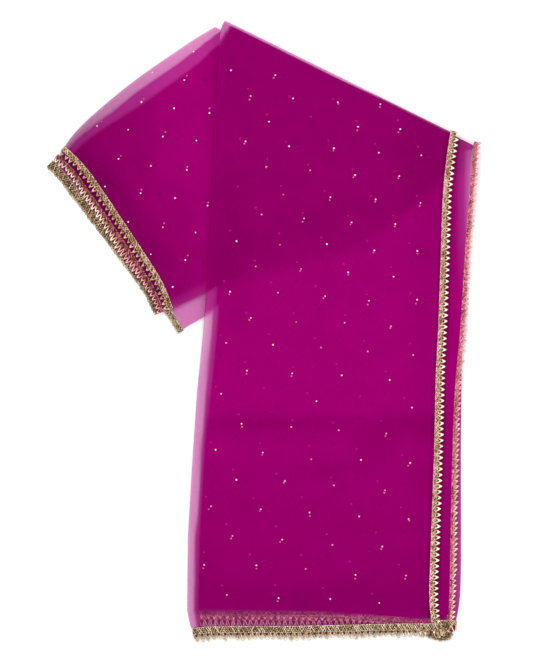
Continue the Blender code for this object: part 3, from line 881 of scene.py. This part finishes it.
# %% Yarns and the lay of a lace
class Lay:
    """A line in plan, read by length, the height of the surface it lies on, and how far it is pulled out."""

    def __init__(self, line, height, start=0.0, stop=1.0, stretch=((0, 1.0), (1, 1.0))):
        self.stretch = stretch
        self.path = even(eased(line, 500, 2), 900, start, stop)
        steps = np.linalg.norm(np.diff(self.path, axis=0), axis=1)
        self.run = np.concatenate([[0], np.cumsum(steps)])
        self.side = moved(self.path, 1.0) - self.path
        self.height = height
        self.length = self.run[-1]

    def place(self, s, w, h):
        x, y, sx, sy = (np.interp(s, self.run, column) for column in (*self.path.T, *self.side.T))
        w = w * along(self.stretch, s / self.length)
        px, py = x + sx * w, y + sy * w
        return np.stack([px, py, self.height(px, py, w) + h], axis=-1)


def yarn(s, w, h, wide, thick, sides=5):
    """Tubes round many paths at once: s, w, h have one row for each path. An ellipse, wide by thick, is
    carried square to each path: across it in plan, and straight up."""
    ds, dw = np.gradient(s, axis=1), np.gradient(w, axis=1)
    size = np.hypot(ds, dw) + 1e-9
    angle = np.linspace(0, 2 * math.pi, sides, endpoint=False)[None, None, :]
    wide = np.broadcast_to(wide, s.shape)[..., None]
    across, up = wide * np.cos(angle), thick * np.sin(angle) + 0 * wide
    side_s, side_w = (dw / size)[..., None], (ds / size)[..., None]
    return s[..., None] + side_s * across, w[..., None] - side_w * across, h[..., None] + up


def yarn_mesh(tubes):
    """Joins the tubes of several yarn calls: points in lace numbers, quads, and each point's high mark, which
    is the yarn's brightness times a painted shade of 0.25 at its sides and below, rising to 1 on its crown."""
    points, quads, high, count = [], [], [], 0
    for (s, w, h), brightness in tubes:
        paths, steps, sides = s.shape
        one = grid_quads(steps, sides, closed=True)
        quads.append((one[None] + (np.arange(paths) * steps * sides)[:, None, None]).reshape(-1, 4) + count)
        points.append(np.stack([s, w, h], axis=-1).reshape(-1, 3))
        angle = np.linspace(0, 2 * math.pi, sides, endpoint=False)
        # painted shade on the yarn's sides and underside, painted highlight on its crown
        crown = 0.25 + 0.75 * np.clip(np.sin(angle) * 1.2, 0, 1)
        high.append((np.broadcast_to(brightness, (paths, steps))[..., None] * crown).reshape(-1))
        count += paths * steps * sides
    return np.concatenate(points), np.concatenate(quads), np.concatenate(high)


print("a yarn of two paths has", yarn(*np.zeros((3, 2, 4)), 0.5, 0.3)[0].size, "points")

# %% [markdown]
# ## The straight pattern
#
# A band of slanting threads crosses between two cords, and a row of loops stands on the outer cord. A loop
# has a yarn width, a share of the pitch that it takes up, a lean, and an unevenness. Its point may be
# closed with a wider stitch, or rounded into a bow. A piece of net lies behind the band and reaches a
# little way into each loop; its dark colour is partly its own and partly painted shadow in the loops.

# %% Lace pattern
CROSSING_PITCH = 2.1  # spacing of the slanting threads in a lace's band


def lace_tubes(length, count, width, band, look, local, wide, share, lean=0.0, uneven=0.0, filled=0.0,
               rounded=0.0):
    """The straight pattern. A loop goes out as rise = 1 - |2 phase - 1| of its reach and comes back, once in
    each pitch. Crossings are two families of slanting yarns between the cords.

    The loop's yarn is wide, takes a share of the pitch, and leans; uneven varies its reach; filled is the
    half width of the stitch that closes its point, and rounded turns its point into a bow. look is the
    brightness of its root, of its point and of the band; the point's extra brightness is a painted highlight."""
    root, point, ground = look
    pitch = length / count
    tubes = []
    phase = np.linspace(0, 1, 13)[None, :]
    start = (np.arange(count) * pitch)[:, None]
    reach = (width - band) * (1 + (0.06 + uneven) * local.uniform(-1, 1, (count, 1)))
    sway = local.uniform(-0.35, 0.35, (count, 1)) * (1 + uneven * 3)
    rise = (1 - rounded) * np.clip(1 - np.abs(2 * phase - 1), 0, 1) + rounded * np.sin(phase * math.pi)
    s = start + pitch * (0.5 + (phase - 0.5) * share + lean * rise) + sway * rise
    w = band - 0.4 + (reach + 0.4 - wide * 0.16) * rise
    h = 0.42 + 0.3 * np.sin(phase * math.pi) + local.uniform(-0.1, 0.1, (count, 1))
    # painted highlight: each loop brightens from its root to its point
    light = root + (point - root) * rise ** 1.2 + local.uniform(-0.12, 0.12, (count, 1))
    tubes.append((yarn(s, w, h, wide * (0.46 - 0.14 * rise), 0.34, 6), light))
    if filled > 0:
        part = np.linspace(0.40, 0.92, 4)[None, :]
        s = start + pitch * (0.5 + lean * part) + sway * part
        stitch = yarn(s, band + reach * part, 0.55 + 0 * s, filled * (1.5 - 1.4 * part), 0.3, 6)
        tubes.append((stitch, point + local.uniform(-0.1, 0.1, (count, 1)) + 0 * s))
    small = np.linspace(0, 1, 5)[None, :]
    crossings = int(length / CROSSING_PITCH)
    half = length / crossings
    origin = (np.arange(crossings) * half)[:, None]
    for way, shift in ((1, 0), (-1, math.pi / 2)):
        drift = local.uniform(-0.45, 0.45, (crossings, 1))
        ss = origin + half * 0.5 + way * half * 1.4 * (small - 0.5) + drift
        ww = 0.5 + (band - 0.9) * small + 0.25 * np.sin(small * math.pi * 2) * way
        hh = 0.36 + 0.2 * np.sin(small * math.pi + shift) + 0 * ss
        light = ground + local.uniform(-0.38, 0.38, (crossings, 1)) + 0 * ss
        tubes.append((yarn(np.clip(ss, 0, length), ww, hh, 0.5, 0.34, 4), light))
    fine = np.linspace(0, length, int(length / 1.2))[None, :]
    for place, radius, light in ((0.5, 0.46, ground - 0.08), (band - 0.45, 0.40, ground - 0.12)):
        sway = 0.14 * np.sin(fine * 2 * math.pi / 3.1 + place) + 0.1 * np.sin(fine * 2 * math.pi / 7.7)
        # painted highlights along the cords' twist, one every 2.3 mm
        light = light + 0.26 * np.sin(fine * 2 * math.pi / 2.3) + local.uniform(-0.2, 0.2, fine.shape)
        tubes.append((yarn(fine, place + sway, 0.38 + 0 * fine, radius, 0.42, 6), light))
    return tubes


def lace_piece(name, lay, width, band, pitch, look, seed, loop, veil=None, replaces=(), finish=gold_lace,
               backed=0.42, fuzz=0.0):
    """One lace on its lay. Its backing net, darkened partly as painted shadow, reaches into each loop, by the
    share backed of the loop's length, and fuzz is the share of loose yarn ends that lie over the backing. veil
    gives the tint mark."""
    count = int(round(lay.length / pitch))
    tubes = lace_tubes(lay.length, count, width, band, look, np.random.default_rng(seed), **loop)
    points, quads, high = yarn_mesh(tubes)
    s, v = np.meshgrid(np.linspace(0, lay.length, count * 6 + 1), np.linspace(0, 1, 5), indexing="ij")
    into = np.clip(1 - 2.2 * np.abs((s / lay.length * count) % 1 - 0.5), 0, 1)
    # a deeper backing has squarer tongues
    into = into ** (0.15 if backed > 0.9 else 0.4 if backed > 0.5 else 1)
    backing = np.stack([s, 0.15 + v * (band - 0.35 + into * (width - band) * backed), 0.12 + 0 * s], axis=-1)
    backing = backing.reshape(-1, 3)
    everything = np.concatenate([points, backing])
    placed = lay.place(*everything.T)
    back_quads = facing(placed[len(points):], grid_quads(*s.shape))
    loose = np.full(len(backing), fuzz)
    marks = {"thread": np.concatenate([np.ones(len(points)), loose]),
             "high": np.concatenate([high, 0.6 * (loose > 0)]),
             "tint": np.zeros(len(everything)) if veil is None else veil(everything[:, 0], everything[:, 1])}
    all_quads = np.concatenate([quads, back_quads + len(points)])
    made = piece_from(name, placed, all_quads, finish, everything[:, :2], marks)
    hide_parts(*replaces)
    print(name, round(lay.length), "mm long,", len(made.data.polygons), "quads")
    return made


# %% [markdown]
# ## The long laces
#
# The long edge of the top ply shows its lace right side up. The one below it lies wrong side up, with net
# over its band, and further up the limb over its loops too.

# %% Long laces
TOP_END, SECOND_END = [(165.5, 184)], [(186.2, 172)]  # where they reach the turn
top_line = [(x, y) for y, x in ((-263, 148.6), (-256, 146.2)) + top_edge[2:-1]] + TOP_END
long_top = Lay(top_line, lambda x, y, w: lift(x, y) + along(near_end, y) - 0.85 - 0.05 * w, 0.0, 0.995)
lace_a = lace_piece("long_lace_top", long_top, 8.2, 4.0, 5.1, (0.40, 1.35, 0.70), 3,
                    dict(wide=1.7, share=0.76, lean=0.06, filled=1.35), replaces=["long_edge_lace_top"])
second_line = [(x, y) for y, x in ((-259, 162.2),) + second_edge[2:-1]] + SECOND_END
long_second = Lay(second_line, lambda x, y, w: lift(x, y) + 2.55 * depth_share(y) - 0.04 * w)


def second_veil(s, w):
    """Over the band 0.95, over the loops 0.65, and 0.20 over the loops that lie on the cloth's own lip."""
    loops = smooth((w - 2.4) / 0.8)
    return 0.95 - 0.30 * loops - 0.45 * smooth((190 - s) / 60) * loops


lace_b = lace_piece("long_lace_second", long_second, 6.5, 2.6, 4.7, (0.62, 0.98, 0.64), 5,
                    dict(wide=1.2, share=0.98, lean=0.45, uneven=0.12, filled=0.5), second_veil,
                    ["long_edge_lace_second"], backed=0.6, fuzz=0.8)

# %% [markdown]
# ## The laces of the near end
#
# At the near end three laces lie over each other. The topmost hangs clear of the cloth, and the other two
# show under a ply of net. At the right all of them are bunched into a knot, made as two short, uneven
# laces.

# %% Near end and its knotted corner
VEILED = 0.95  # tint of a lace that lies right under a ply

end_top = Lay(((-66.8, -265.4), (-60, -264.2), (-48, -263.5), (20, -263.3), (70, -262.2), (120, -261.0),
               (158, -261.0)), lambda x, y, w: along(near_end, y) + 0.25 - 0.03 * w)
lace_c = lace_piece("near_end_lace_top", end_top, 12.9, 6.4, 5.4, (0.40, 0.86, 0.74), 7,
                    dict(wide=1.95, share=0.72, lean=0.08, uneven=0.14, rounded=0.8, filled=0.5),
                    replaces=["end_lace_front_top"], finish=free_lace)
end_second = Lay(((-61, -253.3), (20, -253.8), (80, -254.2), (130, -256.4), (152, -258.4), (171, -258.2)),
                 lambda x, y, w: 1.5 - 0.09 * w)
lace_d = lace_piece("near_end_lace_second", end_second, 11.2, 5.0, 5.2, (0.66, 1.2, 0.6), 9,
                    dict(wide=1.5, share=0.9, lean=0.1, uneven=0.08, rounded=0.4),
                    lambda s, w: VEILED * smooth((214 - s) / 4), ["end_lace_front_under"], backed=1.0)
end_under = Lay(((-61, -249), (20, -249.4), (60, -250.4), (100, -253.3), (130, -256.2), (150, -258.0)),
                lambda x, y, w: 2.1 - 0.08 * w)
lace_e = lace_piece("near_end_lace_under", end_under, 8.6, 4.6, 5.7, (0.35, 1.15, 0.72), 11,
                    dict(wide=1.5, share=0.7, uneven=0.12, filled=0.8),
                    lambda s, w: VEILED + 0 * s, ["end_lace_front_second"], backed=0.8)
bunch = Lay(((141, -264.5), (147, -266.0), (153, -269.5), (159, -270.0), (163.5, -266.0)),
            lambda x, y, w: 2.6 + 0.5 * np.sin(x / 2.1) - 0.1 * w)
lace_j = lace_piece("corner_bunch", bunch, 7.6, 5.4, 3.6, (0.24, 0.66, 0.44), 21,
                    dict(wide=2.0, share=0.9, lean=0.2, uneven=0.3, filled=0.6), finish=free_lace)
bunch_inner = Lay(((137, -261.5), (145, -262.0), (153, -261.8), (159, -261.8), (163.0, -260.6)),
                  lambda x, y, w: 2.9 + 0.5 * np.sin(x / 1.7) - 0.05 * w)
lace_k = lace_piece("corner_bunch_inner", bunch_inner, 9.4, 5.0, 3.8, (0.26, 0.92, 0.46), 23,
                    dict(wide=1.9, share=0.9, lean=0.15, uneven=0.3, filled=0.7), finish=free_lace, backed=0.8)

# %% [markdown]
# ## The laces of the rear end
#
# At the rear end three laces come out in steps, and a last short one edges the fold at the bottom. The
# middle one has net over its band, and from half way down it lies almost wholly under the net.

# %% Rear end
rear_line = eased(rear_end, 300, 2)
step = np.linspace(0, 1, 300)
lay_f = Lay(rear_line, lambda x, y, w: 3.3 - 0.05 * w)
lace_f = lace_piece("rear_end_lace_top", lay_f, 8.2, 4.6, 5.0, (0.24, 0.62, 0.62), 13,
                    dict(wide=1.6, share=0.74, lean=0.1, uneven=0.2, filled=0.5),
                    replaces=["end_lace_rear_top"])
lay_g = Lay(moved(rear_line, np.interp(step, (0, 0.25, 0.5, 1), (9.2, 10.4, 9.2, 8.6))),
            lambda x, y, w: 2.2 - 0.06 * w, stretch=((0, 0.95), (0.3, 1.0), (0.62, 1.42), (1, 0.9)))
lace_g = lace_piece("rear_end_lace_second", lay_g, 7.2, 3.2, 4.2, (0.4, 1.1, 0.36), 15,
                    dict(wide=1.6, share=0.9, lean=0.25, uneven=0.22, rounded=0.5),
                    lambda s, w: VEILED - 0.8 * smooth((w - 3.0) / 0.8) * (1 - 0.8 * smooth((s - 84) / 34)),
                    ["end_lace_rear_second"], backed=1.0)
lay_h = Lay(moved(rear_line, np.interp(step, (0, 0.22, 0.3, 0.62, 1), (16.4, 18.6, 17.2, 13.9, 9.6))),
            lambda x, y, w: 0.35 + 0 * w)
lace_h = lace_piece("rear_end_lace_under", lay_h, 8.6, 7.2, 4.4, (0.36, 0.66, 0.56), 17,
                    dict(wide=2.2, share=0.98, lean=0.2, uneven=0.35, filled=0.8),
                    replaces=["end_lace_rear_under"], finish=free_lace)
lay_i = Lay(((-88.6, 25.0), (-81.0, 13.0), (-74.4, 2.6)), lambda x, y, w: 1.3 - 0.05 * w)
lace_i = lace_piece("rear_lower_fold_lace", lay_i, 6.4, 4.4, 4.0, (0.32, 0.72, 0.66), 19,
                    dict(wide=1.8, share=0.95, lean=0.2, uneven=0.2, filled=0.6),
                    replaces=["end_lace_lower_fold"], finish=free_lace)

# %% [markdown]
# ## Foil dots on a half-drop lattice
#
# A half-drop repeat sets each second column half a step down, as on most block prints. The lattice is a
# formula in a row number and a column number. The rows stand slightly further apart towards the near end,
# where the net is pulled flatter. Each place is then moved a little, because the dots are pressed on by
# hand.


# %% Lattice and dots
def lattice(rows, columns, place):
    """All half-drop points: whole rows with whole columns, and half rows with half columns."""
    k, i = np.meshgrid(np.arange(0, rows, 0.5), np.arange(-1, columns, 0.5), indexing="ij")
    whole = np.isclose((k * 2) % 2, (i * 2) % 2)
    return np.stack(place(k[whole], i[whole]), axis=1)


def dots(name, plan, height, radius, finish, high=0.28, sides=10):
    """Low domes, dished in the middle: rings at 1, 0.85, 0.45 and 0.02 of the radius, 0, 1, 0.8 and 0.7 high."""
    angle = np.linspace(0, 2 * math.pi, sides, endpoint=False)
    rings, rises = np.array([1.0, 0.85, 0.45, 0.02]), np.array([0.0, 1.0, 0.8, 0.7]) * high
    r = radius * rng.uniform(0.85, 1.12, (len(plan), 1, 1))
    squeeze = rng.uniform(0.85, 1.0, (len(plan), 1, 1))
    x = plan[:, 0, None, None] + r * rings[None, :, None] * np.cos(angle)
    y = plan[:, 1, None, None] + r * squeeze * rings[None, :, None] * np.sin(angle)
    z = height(x, y) + rises[None, :, None]
    one = grid_quads(4, sides, closed=True)
    quads = (one[None] + (np.arange(len(plan)) * 4 * sides)[:, None, None]).reshape(-1, 4)
    points = np.stack(np.broadcast_arrays(x, y, z), axis=-1).reshape(-1, 3)
    return piece_from(name, points, facing(points, quads), finish)


def scattered(plan, spread):
    """The same places, each moved a little by chance."""
    return plan + rng.normal(0, spread, plan.shape)


print("a lattice of 3 by 3 has", len(lattice(3, 3, lambda k, i: (k, i))), "places")

# %% [markdown]
# ## Dots on the front limb
#
# The bright dots are on the top ply, and some of them are dull and rosy. Fainter ones are set a little
# aside: those of the second ply show pink, and those deep in the pile show dark.


# %% Front dots
def on_front(k, i):
    return 6.75 - 4.1 * k + i * (38.7 + 0.66 * k), 231.8 - 40.5 * k - 0.62 * k * k - 2.7 * i


def keep_front(plan, from_fold, to_edge, low):
    """The places on the front limb, this far in from its fold and its edge, and clear of the laces."""
    x, y = plan.T
    inside = (x > along(left_fold, y) + from_fold) & (x < along(top_edge, y) - to_edge)
    return plan[inside & (y > low) & (turn_depth(x, y) > 5)]


def front_layer(name, plan, radius, finish, clear=0.01, high=0.05):
    return dots(name, plan, lambda x, y: top_height(x, y, MID_LIMB) + clear, radius, finish, high)


front_dots = scattered(lattice(11.5, 5, on_front), 0.9)
present = rng.uniform(size=len(front_dots)) > 0.06
bright_front = keep_front(front_dots[present], 8, 4, -250)
rosy = rng.uniform(size=len(bright_front)) < 0.3
front_rosy = front_layer("front_rosy_dots", bright_front[rosy], 0.74, rosy_foil, 0.02, 0.28)
front_foil = front_layer("front_foil_dots", bright_front[~rosy], 0.75, gold_foil, 0.02, 0.28)
doubled = rng.uniform(size=len(front_dots)) > 0.45
veiled_front = keep_front(scattered(front_dots[doubled] + (-0.9, -2.4), 0.6), 13, 5, -248)
front_veiled = front_layer("front_veiled_dots", veiled_front, 0.8, veiled_foil, high=0.1)
buried_front = keep_front(scattered(front_dots + (-4.8, -11.2), 0.8), 3, 8, -244)
front_buried = front_layer("front_buried_dots", buried_front, 1.2, buried_foil)
faint_front = keep_front(scattered(front_dots + (15.5, -17.0), 1.5), 13, 6, -244)
front_faint = front_layer("front_faint_dots", faint_front, 1.1, faint_foil)
print("front dots", len(bright_front), "bright", len(veiled_front), "veiled", len(buried_front), "buried")

# %% [markdown]
# ## Dots on the rear limb
#
# The rear limb is the same cloth turned over, so its lattice lies the other way. A dot near a border would
# hang over it, so the places are tested against each of the limb's four sides.


# %% Rear dots
def on_rear(k, i):
    return -71.6 - 40.5 * k + 20.0 * i, 227.3 - 20.5 * k - 30.4 * i


def keep_rear(plan, margin):
    """The places on the rear limb, clear of its upper fold, its end, its foot and the front limb."""
    x, y = plan.T
    right_of_end = x > np.interp(y, *np.array(rear_end)[::-1].T[::-1]) + margin * 1.2
    below_fold = y < np.interp(x, *np.array(rear_upper).T) - margin * 1.25
    above_foot = y > np.interp(x, *np.array(rear_lower).T) + 4
    left_of_front = x < along(left_fold, y) - 2.5
    return plan[below_fold & right_of_end & left_of_front & above_foot & (turn_depth(x, y) > 4)]


def rear_layer(name, plan, radius, finish, high):
    return dots(name, plan, lambda x, y: REAR_HEIGHT + 0.3 + 0 * x, radius, finish, high)


k, i = np.meshgrid(np.arange(-2, 4), np.arange(-2, 8), indexing="ij")
rear_a = scattered(np.stack(on_rear(k.ravel(), i.ravel()), axis=1), 0.8)
rear_b = scattered(rear_a + (9.0, 26.0), 0.8)
bright_rear = keep_rear(np.concatenate([rear_a, rear_b[rng.uniform(size=len(rear_b)) > 0.2]]), 2.5)
rear_foil = rear_layer("rear_foil_dots", bright_rear, 0.73, gold_foil, 0.28)
veiled_rear = keep_rear(scattered(rear_a + (1.8, 3.8), 1.0), 11)
rear_veiled = rear_layer("rear_veiled_dots", veiled_rear, 0.75, veiled_foil, 0.1)
rear_buried = rear_layer("rear_buried_dots", keep_rear(rear_b + (-14.0, 4.0), 3), 1.15, buried_foil, 0.05)
print("rear dots", len(bright_rear), "bright")

# %% [markdown]
# ## What each piece stands for
#
# The parts of the measured model that each piece stands for are hidden. The hidden layers are not plies of
# their own, because they are the same cloth going on round the folds.

# %% Parts that the pieces stand for
for piece, nodes in ((front_top, ["front_top_layer", "slanting_turn"]), (front_second, ["front_second_layer"]),
                     (front_pile, ["front_core"]), (rear_top, ["rear_top_layer"]), (rear_pile, ["rear_core"]),
                     (rear_under, ["rear_under_layer"]), (rear_lower_fold, ["rear_lower_fold"])):
    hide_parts(*nodes)

# %% [markdown]
# ## Table
#
# A pale table, nearly burnt out, fills the loops of the lace with white and shines through the lone plies.

# %% Table
SIDE, BELOW = 3.0, 0.0004  # half its width, and how far it lies below the cloth, in metres
table = bpy.data.meshes.new("table")
corners = ((-1, -1), (1, -1), (1, 1), (-1, 1))
table.from_pydata([(x * SIDE, y * SIDE, -BELOW) for x, y in corners], [], [(0, 1, 2, 3)])
table_top = bpy.data.objects.new("table", table)
bpy.context.scene.collection.objects.link(table_top)
pale = Finish("pale_table", Roughness=0.9, Specular_IOR_Level=0.0)
cloud = pale.noise(pale.add("ShaderNodeTexCoord", out="Object"), 3.0)
table.materials.append(pale.set(Base_Color=pale.mix(cloud, (0.93, 0.93, 0.93, 1), (0.96, 0.96, 0.96, 1))))
print("table", 2 * SIDE, "m wide")

# %% [markdown]
# ## Light and camera
#
# Net this saturated needs soft, even, white light: a bright room and two large softboxes, one to each side.
# The camera looks straight down from far away, with a long lens.

# %% Light and camera
scene = bpy.context.scene
world = bpy.data.worlds.new("soft_room")
world.use_nodes = True
world.node_tree.nodes["Background"].inputs["Color"].default_value = (1.0, 0.995, 0.99, 1)
world.node_tree.nodes["Background"].inputs["Strength"].default_value = 1.0
scene.world = world
SOFTBOX_HEIGHT = 1.7
for name, x, y, power in (("key_softbox", -1.0, 1.1, 18.0), ("fill_softbox", 1.1, -0.9, 13.0)):
    lamp = bpy.data.lights.new(name, "AREA")
    lamp.shape, lamp.size, lamp.energy = "DISK", 2.2, power
    softbox = bpy.data.objects.new(name, lamp)
    softbox.location = (x, y, SOFTBOX_HEIGHT)
    tilt = math.atan2(math.hypot(x, y), SOFTBOX_HEIGHT)
    softbox.rotation_euler = (tilt, 0, math.atan2(y, x) + math.pi / 2)
    scene.collection.objects.link(softbox)
SENSOR, LENS = 36.0, 200.0  # millimetres
SEEN = 0.5994  # metres of table along the frame's longer side
lens = bpy.data.cameras.new("straight_down")
lens.lens, lens.sensor_width, lens.sensor_fit = LENS, SENSOR, "AUTO"
lens.clip_start, lens.clip_end = 0.1, 20.0
camera = bpy.data.objects.new("straight_down", lens)
camera.location = (0.0, 0.0, SEEN * LENS / SENSOR)
scene.collection.objects.link(camera)
scene.camera = camera
scene.view_settings.view_transform = "Standard"
print("camera height", round(camera.location.z, 3), "m")
